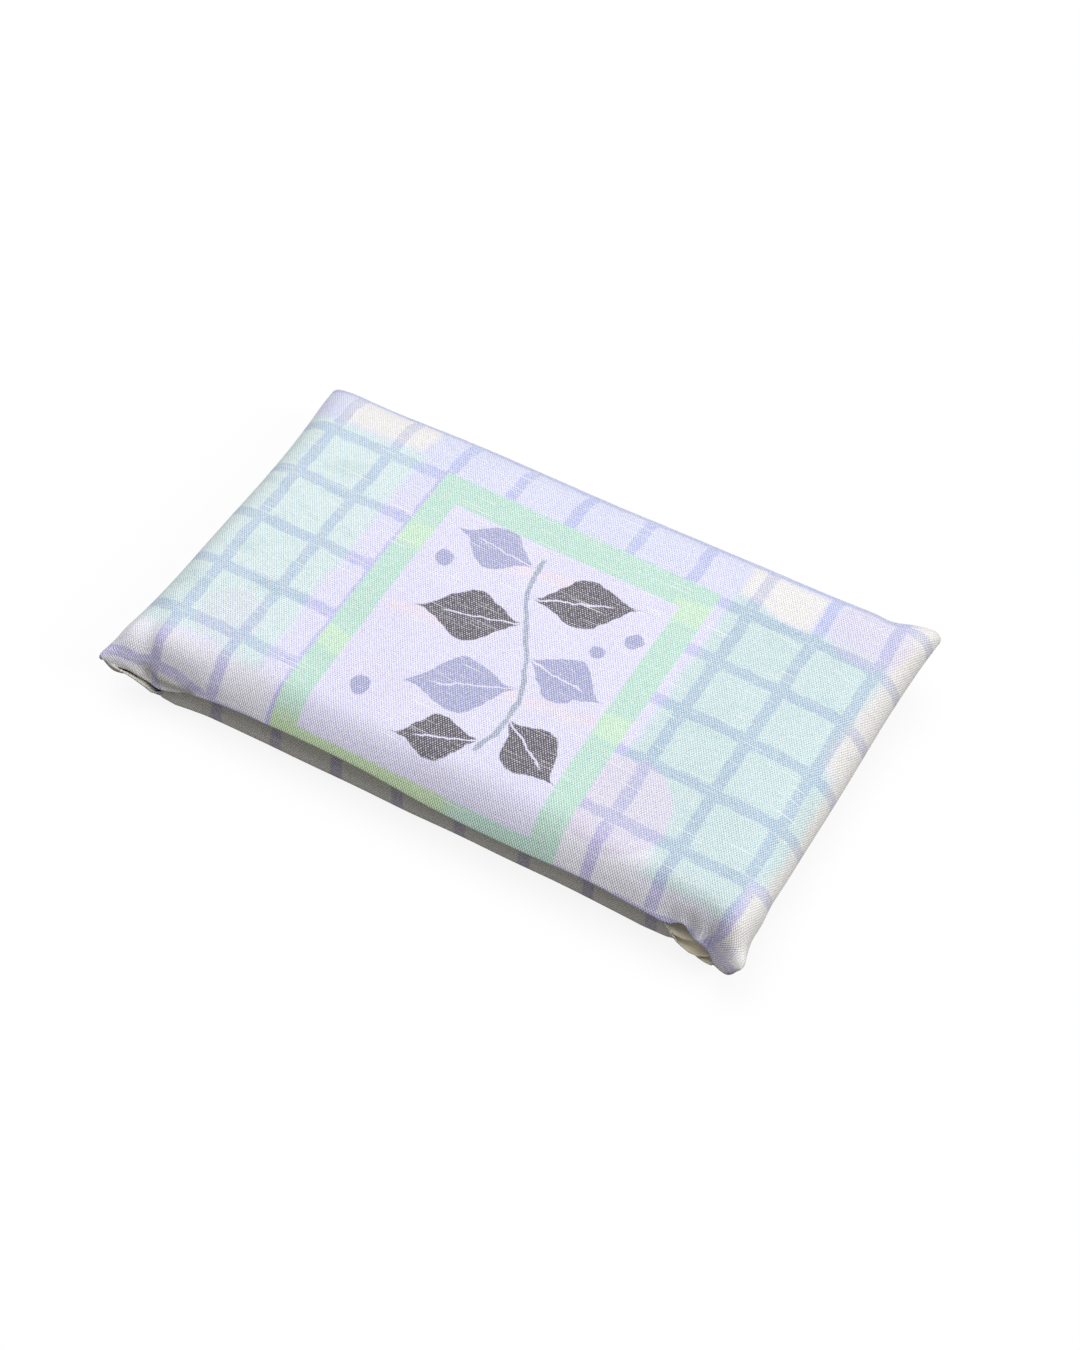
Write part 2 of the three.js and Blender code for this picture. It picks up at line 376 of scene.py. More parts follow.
checkPrintAndWallShade = {
    "unit": 240.0,                     # mm of flat cloth in the unit square of the flat map
    "shift": (3.03, -0.56),            # where the middle of the check lies on the cloth
    # the print lies further in at the back right corner: centre, radius, softness and reach
    "cornerDrift": ((92.0, 54.0), 17.0, 13.0, 2.6),
    "skewRows": (-38.0, -49.0),        # the upper hem is turned in on the skew over these rows,
    "skewColumns": (-60.0, 60.0),      # more and more along these columns,
    "skewEnd": (76.0, 66.0),           # and no longer at the right tip
    "skewLeast": 0.6,
    "skewGrowth": 0.8,

    "columnPitch": 17.0,
    "rowPitch": 16.75,
    "lineWidth": 3.1,
    "lineTint": linear(224, 228, 246),
    "frontLineTint": linear(212, 208, 243),
    "frontRows": (-34.0, -44.0),       # where the front tint takes over
    "hemTurn": 2.6,                    # how far the front row's line is turned under the lip
    "hemTurnRows": (-36.0, -47.0),
    "hemTurnColumns": (-72.0, -58.0),
    "tipDrift": 1.6,                   # how far the last column's line leans out at the front
    "tipDriftOut": (-33.0, -36.0),
    "tipDriftBack": (-38.0, -44.0),
    "tipDriftReturn": 0.55,
    "tipDriftColumns": (66.0, 76.0),
    # where row and column run together on the right tip: centre, radius and softness
    "tipRound": ((81.0, -52.4), 4.0, 1.5),
    "tipStrength": 0.75,
    "lowerRowShift": 8.4,              # the lower panel's rows, moved up the cloth

    "lilac": linear(232, 229, 253),
    "blueLilac": linear(224, 227, 250),
    "blueRise": (0.1, 0.5),
    "blueSlope": 0.012,                # it gets bluer towards the back
    "mintLeft": linear(222, 240, 240),
    "mintRight": linear(209, 230, 230),
    "mintSoft": 1.6,
    "mintPatches": (
        ("mintLeft", (-95.0, -51.5, -38.0, 37.5)),
        ("mintLeft", (-62.0, -51.0, -47.0, -34.0)),
        ("mintLeft", (-95.0, -74.0, -42.0, -34.0)),
        ("mintRight", (37.0, 79.0, -45.0, 37.0)),
        ("mintRight", (76.0, 84.5, -32.0, 3.0)),
    ),
    "teal": linear(200, 224, 224),     # dabs in the mint
    "tealRise": (0.02, 0.2),
    "tealShare": 0.7,
    "pale": linear(240, 238, 247),
    "beige": linear(240, 237, 232),
    "cream": linear(244, 241, 238),
    "plainPatches": (                  # colour, softness of the edge, and boxes
        ("pale", 3.0, (
            (-95.0, -46.0, -75.0, -39.5), (34.0, 55.0, -75.0, -36.0), (50.0, 120.0, -75.0, -45.0),
        )),
        ("beige", 2.5, (
            (82.6, 120.0, -34.0, 60.0), (78.3, 120.0, 3.0, 60.0), (79.8, 120.0, -75.0, -33.0),
        )),
        ("cream", 1.2, (
            (-77.5, -53.0, 38.0, 48.0), (38.0, 57.0, 37.0, 48.5), (-84.0, -58.0, -75.0, -52.0),
        )),
    ),
    "pink": linear(228, 220, 239),
    "pinkSoft": 0.5,
    # centre, radius and strength
    "pinkRounds": (((42.0, -31.0), 12.0, 0.85), ((-65.0, -30.0), 8.0, 0.3), ((71.0, 43.0), 10.0, 0.6)),
    # painted shade: the lower panel's front wall is painted darker from its foot up to the lip, for the
    # shade under the overhanging upper lip
    "wallShadeFoot": linear(246, 243, 235),
    "wallShadeUnderLip": linear(208, 205, 195),
    "wallShadeRows": (-46.0, -53.0),
    "wallShadeBox": (-120.0, 120.0, -80.0, -36.0),
    "wallShadeSoft": 3.0,

    "frameOuter": (-43.1, 34.4, -70.0, 35.4),
    "frameInner": (-36.1, 27.1, -48.0, 26.9),
    "frameSoft": 0.25,
    "green": linear(197, 232, 217),
    "lime": linear(210, 241, 212),
    "limeSoft": 0.8,
    "limePatches": ((-46, -34, 11, 18), (-46, -34, -27, -21), (25, 37, 22, 30), (25, 37, -17.5, -10)),
    "lowLime": linear(207, 232, 178),
    "lowLimeBox": (-50.0, 6.0, -75.0, -46.0),
    "lowLimeSoft": 4.0,
    "lowLimeShare": 0.9,
    "peach": linear(241, 229, 243),
    "peachRise": (0.05, 0.4),
    "peachShare": 0.6,
    "stripes": ((-19.0, 9.0, 16.0, 20.5), (-34.0, -6.0, -5.0, -1.5), (2.0, 27.0, -19.0, -15.5)),
    "stripeLean": 0.1,
    "stripeSoft": 1.5,
    "stripeShare": 0.9,
}

# Brushwork: noises by their wavelength in mm and detail, and how far they move what is drawn
brushwork = {
    "brush": (3.6, 4.0),             # the uneven edge of a drawn stroke
    "wash": (26.0, 3.0),             # slow wander of a watercolour patch
    "dab": (7.0, 3.0),
    "dabStretch": 2.2,               # dabs are drawn out across the cloth
    "drift": (11.0, 2.0),            # the hand's wander along a stroke
    "lineStray": (1.3, 1.2),         # by brush and by drift
    "lineSwell": 0.7,
    "lineSoft": 0.35,
    "lineStrength": (0.95, 0.5),     # middle and spread
    "patchStray": (1.5, 7.0, 9.0),   # by brush, and by wash across and along the cloth
    "edgeStray": 0.5,
    "leafStray": 2.2,
}

# Leaves of the framed design: foot on the stem, heading in degrees, length, width and colour
leafPrint = {
    "charcoal": linear(104, 99, 111),
    "periwinkle": linear(176, 178, 215),
    "stemColour": linear(172, 182, 203),
    "stemWidth": 1.2,
    "stemLean": 0.16,
    "stemWave": 70.0,       # mm from bend to bend
    "stemSwing": 5.0,
    "stemEdge": (0.3, -0.2),
    "stemBox": (-30, 30, -34, 23),
    "stemEndSoft": 0.5,
    "leaves": (
        ((-7.9, 19.5), 176, 24.0, 13.5, "periwinkle"),
        ((-5.5, 10.5), 22, 28.0, 15.5, "charcoal"),
        ((-1.5, 3.0), 196, 28.0, 15.5, "charcoal"),
        ((3.0, -5.0), -8, 23.0, 13.5, "periwinkle"),
        ((6.8, -13.5), 205, 29.0, 16.0, "periwinkle"),
        ((8.0, -22.0), -32, 22.0, 14.5, "charcoal"),
        ((6.6, -31.0), -160, 22.0, 12.5, "charcoal"),
    ),
    "leafSoft": 0.25,
    "leafEndSoft": 0.4,
    "veinEdge": (0.1, 0.35),
    "veinEnd": (0.68, 0.78),    # share of the leaf's length that the vein runs
    "pebbleSoft": 0.3,
    "pebbles": (((-29.5, 11.0), 2.4), ((17.0, 4.5), 2.0), ((-27.0, -31.0), 2.6), ((23.0, 11.5), 2.2)),
}


def leafMask(x, y, foot, heading, length, width):
    turn = math.radians(heading)
    across = x - foot[0]
    along = y - foot[1]
    run = across * math.cos(turn) + along * math.sin(turn)
    side = along * math.cos(turn) - across * math.sin(turn)
    share = ramp(run / length, 0.0, 1.0)
    belly = (share * math.pi).math("SINE") * (width / 2)
    soft = leafPrint["leafSoft"]
    inside = ramp(abs(side) - belly, soft, -soft)
    vein = ramp(abs(side), *leafPrint["veinEdge"]).math("MAXIMUM", ramp(run / length, *leafPrint["veinEnd"]))
    tip = leafPrint["leafEndSoft"]
    ends = ramp(run, 0.0, tip) * ramp(run, length, length - tip)
    return inside * ends * vein


def leafDesign(x, y, colour):
    half = leafPrint["stemWidth"] / 2
    outer, inner = leafPrint["stemEdge"]
    swing = (y * (2 * math.pi / leafPrint["stemWave"])).math("SINE") * leafPrint["stemSwing"]
    stem = ramp(abs(x + y * leafPrint["stemLean"] + swing), half + outer, half + inner)
    stem = stem * softBox(x, y, leafPrint["stemBox"], leafPrint["stemEndSoft"])
    colour = mixed(stem, colour, leafPrint["stemColour"])
    for foot, heading, length, width, tone in leafPrint["leaves"]:
        colour = mixed(leafMask(x, y, foot, heading, length, width), colour, leafPrint[tone])
    for centre, radius in leafPrint["pebbles"]:
        pebble = softRound(x, y, centre, radius, leafPrint["pebbleSoft"])
        colour = mixed(pebble, colour, leafPrint["periwinkle"])
    return colour


def brushStrokes(px, py):
    # the noises of the print, and the place that they move its patches to
    place = vector(px, py)
    strokes = {name: cloudy(place, *brushwork[name]) for name in ("brush", "wash", "drift")}
    strokes["dab"] = cloudy(vector(px / brushwork["dabStretch"], py), *brushwork["dab"])
    byBrush, across, along = brushwork["patchStray"]
    strokes["patchX"] = px + strokes["brush"][1] * byBrush + strokes["wash"][1] * across
    strokes["patchY"] = py + strokes["brush"][0] * byBrush + strokes["wash"][2] * along
    return strokes


def watercolourAndWallShade(py, strokes, framed):
    # ground and patches, each painted over those before it, and painted shade on the lower panel's front
    # wall
    x, y = strokes["patchX"], strokes["patchY"]
    blue = ramp(strokes["wash"][0] + py * checkPrintAndWallShade["blueSlope"], *checkPrintAndWallShade["blueRise"])
    colour = mixed(blue, checkPrintAndWallShade["lilac"], checkPrintAndWallShade["blueLilac"])
    dabs = ramp(strokes["dab"][0], *checkPrintAndWallShade["tealRise"]) * checkPrintAndWallShade["tealShare"]
    for tone, box in checkPrintAndWallShade["mintPatches"]:
        mint = mixed(dabs, checkPrintAndWallShade[tone], checkPrintAndWallShade["teal"])
        colour = mixed(softBox(x, y, box, checkPrintAndWallShade["mintSoft"]), colour, mint)
    for tone, soft, boxes in checkPrintAndWallShade["plainPatches"]:
        for box in boxes:
            colour = mixed(softBox(x, y, box, soft), colour, checkPrintAndWallShade[tone])
    for centre, radius, strength in checkPrintAndWallShade["pinkRounds"]:
        blush = softRound(x, y, centre, radius, checkPrintAndWallShade["pinkSoft"]) * strength
        colour = mixed(blush, colour, checkPrintAndWallShade["pink"])
    # painted shade on the lower panel: its front wall darkens from the foot up towards the lip
    if not framed:
        wall = mixed(ramp(py, *checkPrintAndWallShade["wallShadeRows"]), checkPrintAndWallShade["wallShadeFoot"], checkPrintAndWallShade["wallShadeUnderLip"])
        colour = mixed(softBox(x, y, checkPrintAndWallShade["wallShadeBox"], checkPrintAndWallShade["wallShadeSoft"]), colour, wall)
    return colour


def checkLines(px, py, strokes, colour, framed):
    # the windowpane check, multiplied into the colours below it
    brush, drift = strokes["brush"], strokes["drift"]
    byBrush, byDrift = brushwork["lineStray"]
    lineX = px + brush[0] * byBrush + drift[0] * byDrift
    lineY = py + brush[1] * byBrush + drift[1] * byDrift
    if framed:
        turned = ramp(py, *checkPrintAndWallShade["hemTurnRows"]) * ramp(px, *checkPrintAndWallShade["hemTurnColumns"])
        lineY = lineY + turned * checkPrintAndWallShade["hemTurn"]
        returned = ramp(py, *checkPrintAndWallShade["tipDriftBack"]) * checkPrintAndWallShade["tipDriftReturn"]
        leaning = ramp(py, *checkPrintAndWallShade["tipDriftOut"]) - returned
        lineX = lineX - leaning * ramp(px, *checkPrintAndWallShade["tipDriftColumns"]) * checkPrintAndWallShade["tipDrift"]
    else:
        lineY = lineY - checkPrintAndWallShade["lowerRowShift"]
    half = brush[2] * brushwork["lineSwell"] + checkPrintAndWallShade["lineWidth"] / 2
    soft = brushwork["lineSoft"]
    columns = (lineX - checkPrintAndWallShade["columnPitch"] / 2).nearest(checkPrintAndWallShade["columnPitch"])
    rows = lineY.nearest(checkPrintAndWallShade["rowPitch"])
    lines = ramp(columns - half, soft, -soft).math("MAXIMUM", ramp(rows - half, soft, -soft))
    if framed:
        tip = softRound(lineX, py, *checkPrintAndWallShade["tipRound"]) * checkPrintAndWallShade["tipStrength"]
        lines = lines.math("MAXIMUM", tip)
    tint = mixed(ramp(py, *checkPrintAndWallShade["frontRows"]), checkPrintAndWallShade["lineTint"], checkPrintAndWallShade["frontLineTint"])
    middle, spread = brushwork["lineStrength"]
    return mixed(lines * (strokes["dab"][1] * spread + middle), colour, tint, "MULTIPLY")


def framedPicture(px, py, strokes, colour):
    # green border with lime patches, and the leaf design inside it
    brush = strokes["brush"]
    edgeX = px + brush[0] * brushwork["edgeStray"]
    edgeY = py + brush[1] * brushwork["edgeStray"]
    green = checkPrintAndWallShade["green"]
    for box in checkPrintAndWallShade["limePatches"]:
        lime = softBox(edgeX, strokes["patchY"], box, checkPrintAndWallShade["limeSoft"])
        green = mixed(lime, green, checkPrintAndWallShade["lime"])
    low = softBox(strokes["patchX"], py, checkPrintAndWallShade["lowLimeBox"], checkPrintAndWallShade["lowLimeSoft"])
    green = mixed(low * checkPrintAndWallShade["lowLimeShare"], green, checkPrintAndWallShade["lowLime"])
    colour = mixed(softBox(edgeX, edgeY, checkPrintAndWallShade["frameOuter"], checkPrintAndWallShade["frameSoft"]), colour, green)

    peach = ramp(strokes["wash"][1], *checkPrintAndWallShade["peachRise"]) * checkPrintAndWallShade["peachShare"]
    panel = mixed(peach, checkPrintAndWallShade["lilac"], checkPrintAndWallShade["peach"])
    stripeY = strokes["patchY"] - px * checkPrintAndWallShade["stripeLean"]
    for box in checkPrintAndWallShade["stripes"]:
        stripe = softBox(strokes["patchX"], stripeY, box, checkPrintAndWallShade["stripeSoft"])
        panel = mixed(stripe * checkPrintAndWallShade["stripeShare"], panel, checkPrintAndWallShade["peach"])
    leafX = px + brush[0] * brushwork["leafStray"]
    leafY = py + brush[1] * brushwork["leafStray"]
    panel = leafDesign(leafX, leafY, panel)
    return mixed(softBox(edgeX, edgeY, checkPrintAndWallShade["frameInner"], checkPrintAndWallShade["frameSoft"]), colour, panel)


def printedCloth(name, framed):
    material, tree, shader = newMaterial(name)
    x, y = flatCloth(tree, checkPrintAndWallShade["unit"])
    px = x - checkPrintAndWallShade["shift"][0]
    py = y - checkPrintAndWallShade["shift"][1]
    *corner, reach = checkPrintAndWallShade["cornerDrift"]
    py = py + softRound(px, py, *corner) * reach
    if framed:
        skew = ramp(px, *checkPrintAndWallShade["skewColumns"]) * checkPrintAndWallShade["skewGrowth"] + checkPrintAndWallShade["skewLeast"]
        py = py - ramp(py, *checkPrintAndWallShade["skewRows"]) * skew * ramp(px, *checkPrintAndWallShade["skewEnd"])
    strokes = brushStrokes(px, py)
    colour = watercolourAndWallShade(py, strokes, framed)
    colour = checkLines(px, py, strokes, colour, framed)
    if framed:
        colour = framedPicture(px, py, strokes, colour)
    wovenCloth(tree, shader, x, y, colour, weave["printedShow"])
    return material


# Sheets of cloth: a grid moved to its sewn shape, with its flat layout kept as a map

def arcLengths(points, axis, middle):
    # distance along the cloth from the middle line, on each row or column
    steps = np.linalg.norm(np.diff(points, axis=axis), axis=2)
    pad = [(0, 0), (0, 0)]
    pad[axis] = (1, 0)
    run = np.cumsum(np.pad(steps, pad), axis=axis)
    return run - np.take(run, [middle], axis=axis)


def flatLayout(points, middleColumn, middleRow):
    return np.stack([arcLengths(points, 1, middleColumn), arcLengths(points, 0, middleRow)], axis=-1)


def sheetObject(name, points, flat, unit, flip, materials, bareRows=0, cut=None):
    rows, columns = points.shape[:2]
    bm = bmesh.new()
    bmesh.ops.create_grid(bm, x_segments=columns - 1, y_segments=rows - 1, size=0.5)
    layout = bm.loops.layers.uv.new("flat")
    places = {}
    for vert in bm.verts:
        column = round((vert.co.x + 0.5) * (columns - 1))
        row = round((vert.co.y + 0.5) * (rows - 1))
        places[vert] = (row, column)
    for vert, place in places.items():
        vert.co = points[place] * mm
    for face in bm.faces:
        for loop in face.loops:
            loop[layout].uv = flat[places[loop.vert]] / unit + 0.5
        face.smooth = True
        if max(places[vert][0] for vert in face.verts) < bareRows:
            face.material_index = 1
    if flip:
        bmesh.ops.reverse_faces(bm, faces=bm.faces)
    if cut is not None:
        spare = [face for face in bm.faces if any(cut[places[vert]] for vert in face.verts)]
        bmesh.ops.delete(bm, geom=spare, context="FACES")
    return meshObject(name, bm, materials)


def clothThickness(piece, thickness, inside):
    # the grid is the outer face, and the cloth grows inwards from it
    wall = piece.modifiers.new("thickness", "SOLIDIFY")
    wall.thickness = thickness * mm
    wall.offset = -1.0
    wall.use_even_offset = False
    wall.material_offset = inside
    wall.material_offset_rim = 0


def flatSpan(flat):
    return tuple((flat.max(axis=(0, 1)) - flat.min(axis=(0, 1))) * mm)


# The pouch: two panels sewn on three sides, lying round the folded bag

pouch = {
    "thickness": 0.45,
    "middle": -0.675,       # y of the pouch's middle line
    "sideReach": 84.4,
    "sideTip": (3.9, 1.8),  # how far the front and the back tips stand out
    "backReach": 52.3,
    "backTip": 0.4,
    "lipReach": 47.6,
    "lipTip": 4.4,
    "lowerLipReach": 46.4,
    "lowerInset": 0.7,      # how far the lower panel's outline keeps inside the upper's
    "cornerRound": (4.0, 2.2),   # at the front and the back
    "nub": 0.42,            # fullness of the rounded front corners
    "nubPlace": (82.5, 47.5),
    "nubSize": 8.0,
    "nubRound": 4.0,
    # x, and how far the wall's foot stands out there
    "bulgeRun": (
        (-83.0, -3.4), (-76.0, -3.0), (-72.0, 0.9), (-68.0, 1.6), (-60.0, 1.1), (-35.0, 0.9),
        (60.0, -0.7), (66.0, -1.3), (72.0, -3.2), (79.0, -3.0),
    ),
    "bulgeShare": 0.7,      # the push fades over this share of the wall's height,
    "bulgeDepth": 25.0,     # over this way in from the lip,
    "bulgeEnds": (84.0, 8.0),   # and before this x, over this length
    "cornerLift": 4.5,      # how far the lower panel rises at its front corners
    "liftPlace": (86.0, 51.0),
    "liftSize": 13.0,
    "liftRoom": 10.0,       # depth under the lip at which the rise is whole
    "seamHeight": 11.0,
    "seamGap": 1.1,         # between the two panels' outer faces where they turn in
    "lipRise": 2.2,
    "flatTop": 20.4,
    "crown": 2.0,
    "sideRound": 11.2,
    "endRound": 12.0,
    "lipRound": 10.0,
    "seamCurve": (2, 2),    # power and root of the cloth's turn down to a seam
    "lipCurve": (2, 1.1),
    "lowerLipCurve": (6, 6),
    "lipPull": (15.0, 7.0),      # how far slow and fine changes of the lip reach into the panel
    "lowerLipPull": (12.0, 8.0),
    "lipWave": 9.0,         # length over which a change is slow
    "lipFree": 46.0,        # half the run that lifts wholly with the lip
    "lipHold": 32.0,        # run beyond it, over which the seams take hold
    "shoulderStart": 4.0,
    "ripples": ((24.0, 3.1, 0.5), (9.0, 7.7, 0.16)),   # wavelength, seed and height
    "lowerRipple": (20.0, 5.2, 0.35),
    "reverse": (linear(240, 236, 222), linear(232, 228, 212)),
    "hemWidth": 8.0,
    "hemRun": (-81.5, 81.5),
    "lowerHemRun": (-69.5, 65.0),
    "hemGap": 1.1,          # from the outer face of the lip to the turned-in hem's
    "hemShares": np.linspace(1.0, 0.1, 7),   # rows of the hem, as shares of its width
    "hemAngles": (150, 90, 30),              # rows round its fold
    # rows of the seam allowance: in at the tips, in elsewhere, and down
    "tuck": ((0.12, 0.12, 0.42), (0.4, 0.5, 0.52), (0.75, 5.0, 0.52)),
    "tuckStart": 14.0,      # run over which the allowance widens from the tips
    "borderSteps": 16,
    "middleColumns": 190,
    "middleRows": 104,
}

# Free edge of the upper lip, in mm from left to right: the droop and crease of the left corner,
# the gentle wave of the middle, and the wave and pucker of the right corner
upperLipEdge = (
    (-86.6, -52.4, 13.2), (-84.1, -51.9, 11.4), (-82.6, -51.5, 11.2), (-79.7, -51.0, 11.4),
    (-76.9, -50.7, 10.5), (-75.2, -50.4, 9.4), (-72.1, -50.4, 8.2), (-69.0, -50.0, 8.5),
    (-66.3, -49.5, 9.2), (-63.6, -48.9, 10.0), (-61.2, -49.2, 11.3), (-56.0, -48.9, 12.1),
    (-40.0, -48.3, 13.1), (-14.0, -48.2, 13.6), (5.0, -48.5, 12.4), (29.0, -48.4, 12.6),
    (48.0, -48.1, 13.5), (57.0, -48.2, 13.0), (63.0, -48.2, 12.6), (65.6, -47.9, 12.0),
    (67.6, -47.3, 11.6), (68.9, -46.9, 12.6), (70.5, -46.7, 12.9), (72.4, -46.9, 10.5),
    (73.6, -47.1, 9.8), (74.7, -47.5, 10.6), (76.2, -47.9, 9.9), (77.8, -48.5, 8.6),
    (79.8, -49.8, 7.5), (81.8, -51.0, 7.9), (84.0, -52.0, 9.3), (85.9, -52.1, 11.1),
    (87.2, -51.4, 12.6),
)

# Free edge of the lower lip: it falls away at both ends, and the cream inside shows at the right
lowerLipEdge = (
    (-85.8, -52.0, 12.6), (-82.3, -52.2, 11.4), (-79.4, -51.8, 10.2), (-77.3, -51.4, 8.8),
    (-75.2, -51.0, 7.1), (-73.1, -50.6, 5.5), (-71.0, -49.4, 6.2), (-66.0, -47.4, 8.4),
    (-56.0, -46.0, 10.4), (-30.0, -45.8, 11.4), (0.0, -45.8, 11.6), (52.0, -45.8, 11.4),
    (61.0, -46.4, 11.0), (64.5, -47.0, 10.8), (66.2, -47.5, 10.3), (67.6, -47.9, 8.9),
    (69.1, -48.2, 7.0), (73.5, -48.3, 5.2), (75.4, -48.3, 4.3), (79.8, -48.5, 5.4),
    (81.8, -49.4, 7.2), (83.9, -50.2, 9.0), (86.2, -50.4, 11.4),
)

# Crease where the left end of the upper lip tucks under: from its start, where it lies deepest
# in from the edge, to its end on the edge
lipCrease = {
    "start": -78.0,
    "end": -60.5,
    "depth": 4.2,
    "step": 0.75,
    "sharp": 0.55,
    "reach": 3.4,
    "fade": (5, 4),         # how fast it fades at its end and its start
}

# Soft swellings of the upper panel and of the lower panel's edges: centre, radii and push in mm
swellings = (
    ((86.0, 51.0), (26.0, 20.0), (0.4, 0.0, 2.3)),
    ((84.5, 52.5), (5.5, 8.0), (0.9, 0.6, 2.2)),
    ((88.0, 42.0), (8.0, 13.0), (0.8, 0.0, 2.2)),
    ((75.5, 52.5), (3.0, 4.0), (0.0, -0.6, -0.7)),
    ((88.0, -37.0), (9.0, 13.0), (0.6, 0.0, 3.0)),
    ((86.0, -50.0), (5.0, 6.0), (-0.6, 0.3, 0.0)),
    ((89.0, -43.5), (5.0, 4.0), (-1.2, 0.0, 0.0)),
    ((89.0, -34.0), (5.0, 6.0), (-0.7, 0.0, 0.0)),
    ((-87.0, -50.0), (6.0, 8.0), (0.5, 0.0, -0.4)),
    ((-86.0, 18.0), (10.0, 24.0), (0.7, 0.0, -0.3)),
    ((-87.0, 0.0), (9.0, 36.0), (1.15, 0.0, 2.1)),
    ((-72.0, 51.0), (22.0, 14.0), (0.0, -1.3, 0.0)),
    ((86.0, 5.0), (14.0, 45.0), (1.2, 0.0, 0.0)),
    ((45.0, 50.0), (34.0, 10.0), (0.0, 0.0, 1.2)),
    ((-40.0, 10.0), (26.0, 22.0), (0.0, 0.0, 0.35)),
    ((32.0, -12.0), (22.0, 26.0), (0.0, 0.0, 0.35)),
    ((0.0, 20.0), (18.0, 14.0), (0.0, 0.0, -0.35)),
)

# Dents and puckers of the upper panel's front corners
dents = (
    ((-77.5, -44.0), (2.6, 5.0), (0.2, 0.3, -1.8)),
    ((-74.5, -48.5), (1.7, 2.6), (0.0, 0.7, -1.0)),
    ((74.8, -47.9), (1.5, 1.6), (0.0, -1.1, 0.9)),
    ((77.7, -47.4), (1.5, 2.0), (0.0, 0.6, -1.5)),
)

# Fuller cloth above the lip, which leaves the lip's edge where it is
shoulders = (
    ((-69.0, -45.0), (14.0, 4.5), (0.0, -0.5, 1.7)),
    ((78.0, -40.0), (8.0, 6.0), (0.0, 0.0, -0.6)),
    ((60.0, -43.0), (14.0, 4.0), (0.0, -0.3, 0.6)),
)


def roundOff(distance, width, curve):
    # 0 at a seam, rising to 1 at the given width
    power, root = curve
    return (1 - (1 - np.clip(distance / width, 0, 1)) ** power) ** (1 / root)


def smoothStep(share):
    share = np.clip(share, 0, 1)
    return share * share * (3 - 2 * share)


def stations(reach, border, middle):
    # shares from -1 to 1, closer where the cloth turns down at the seams
    angles = np.linspace(0, math.pi / 2, pouch["borderSteps"] + 1)
    rim = 1 - border * (1 - np.cos(angles)) / reach
    core = np.linspace(-rim[-1], rim[-1], middle + 1)
    return np.concatenate([-rim[:-1], core, rim[:-1][::-1]])


def roundCorners(x, y, halfWidth, reach):
    # turns each square corner of the plan into a round one
    radius = np.where(y < 0, *pouch["cornerRound"])
    u = np.clip(1 - (halfWidth - abs(x)) / radius, 0, 1)
    v = np.clip(1 - (reach - abs(y)) / radius, 0, 1)
    x = x - np.sign(x) * radius * u * (1 - np.sqrt(1 - v * v / 2))
    y = y - np.sign(y) * radius * v * (1 - np.sqrt(1 - u * u / 2))
    return x, y


def pillow(across, along, upper):
    # one panel of the pouch, and how full it is: 0 at the seams and 1 where it lies on the bag
    lipReach = pouch["lipReach" if upper else "lowerLipReach"]
    inset = 0 if upper else pouch["lowerInset"]
    lipTip = pouch["lipTip"] + (pouch["lipReach"] - lipReach - inset)
    front = along < 0
    halfWidth = pouch["sideReach"] + np.where(front, *pouch["sideTip"]) * along ** 4 - inset
    tip = np.where(front, lipTip, pouch["backTip"])
    reach = np.where(front, lipReach, pouch["backReach"] - inset) + tip * across ** 6
    fromSide = (1 - abs(across)) * halfWidth
    fromEnd = (1 - abs(along)) * reach
    side = roundOff(fromSide, pouch["sideRound"], pouch["seamCurve"])
    behind = roundOff(fromEnd, pouch["endRound"], pouch["seamCurve"])
    if upper:
        lip = roundOff(fromEnd, pouch["lipRound"], pouch["lipCurve"])
    else:
        lip = roundOff(fromEnd, pouch["endRound"], pouch["lowerLipCurve"])
    away = np.hypot(abs(across) * halfWidth - pouch["nubPlace"][0], along * reach + pouch["nubPlace"][1])
    nub = pouch["nub"] * smoothStep(1 - away / (2 * pouch["nubSize"]))
    nub = nub * roundOff(np.minimum(fromSide, fromEnd), pouch["nubRound"], pouch["seamCurve"])
    fullness = np.maximum(side * np.where(front, lip, behind), nub)
    edge = pouch["seamHeight"] + np.where(front, pouch["lipRise"] * along ** 2 * (1 - across ** 6), 0)
    x, y = roundCorners(across * halfWidth, along * reach, halfWidth, reach)
    if upper:
        edge = edge + pouch["seamGap"] / 2
        z = edge + (pouch["flatTop"] - edge) * fullness
        z = z + pouch["crown"] * (1 - across ** 4) * (1 - along ** 2)
    else:
        z = (edge - pouch["seamGap"] / 2) * (1 - fullness)
    return np.stack([x, y + pouch["middle"], z], axis=-1), fullness


def edgeCurve(control, x):
    # smooth curve through the given points of a lip edge
    knots = np.array(control)
    slopes = np.gradient(knots[:, 1:], knots[:, 0], axis=0)
    slot = np.clip(np.searchsorted(knots[:, 0], x) - 1, 0, len(knots) - 2)
    width = (knots[slot + 1, 0] - knots[slot, 0])[:, None]
    share = np.clip((x[:, None] - knots[slot, :1]) / width, 0, 1)
    first = (1 + 2 * share) * (1 - share) ** 2 * knots[slot, 1:]
    last = share ** 2 * (3 - 2 * share) * knots[slot + 1, 1:]
    bend = share * (1 - share) ** 2 * slopes[slot] - share ** 2 * (1 - share) * slopes[slot + 1]
    return first + last + width * bend


def pullLip(points, control, reach):
    # draws the lip to its edge curve: slow changes reach further into the panel than fine ones
    broad, fine = reach
    x = points[0, :, 0]
    change = edgeCurve(control, x) - points[0, :, 1:]
    kernel = np.exp(-((x[:, None] - x[None, :]) / pouch["lipWave"]) ** 2)
    slow = kernel @ change / kernel.sum(axis=1, keepdims=True)
    away = np.linalg.norm(points - points[:1], axis=2)[..., None]
    points[..., 1:] += slow * smoothStep(1 - away / broad) + (change - slow) * smoothStep(1 - away / fine)


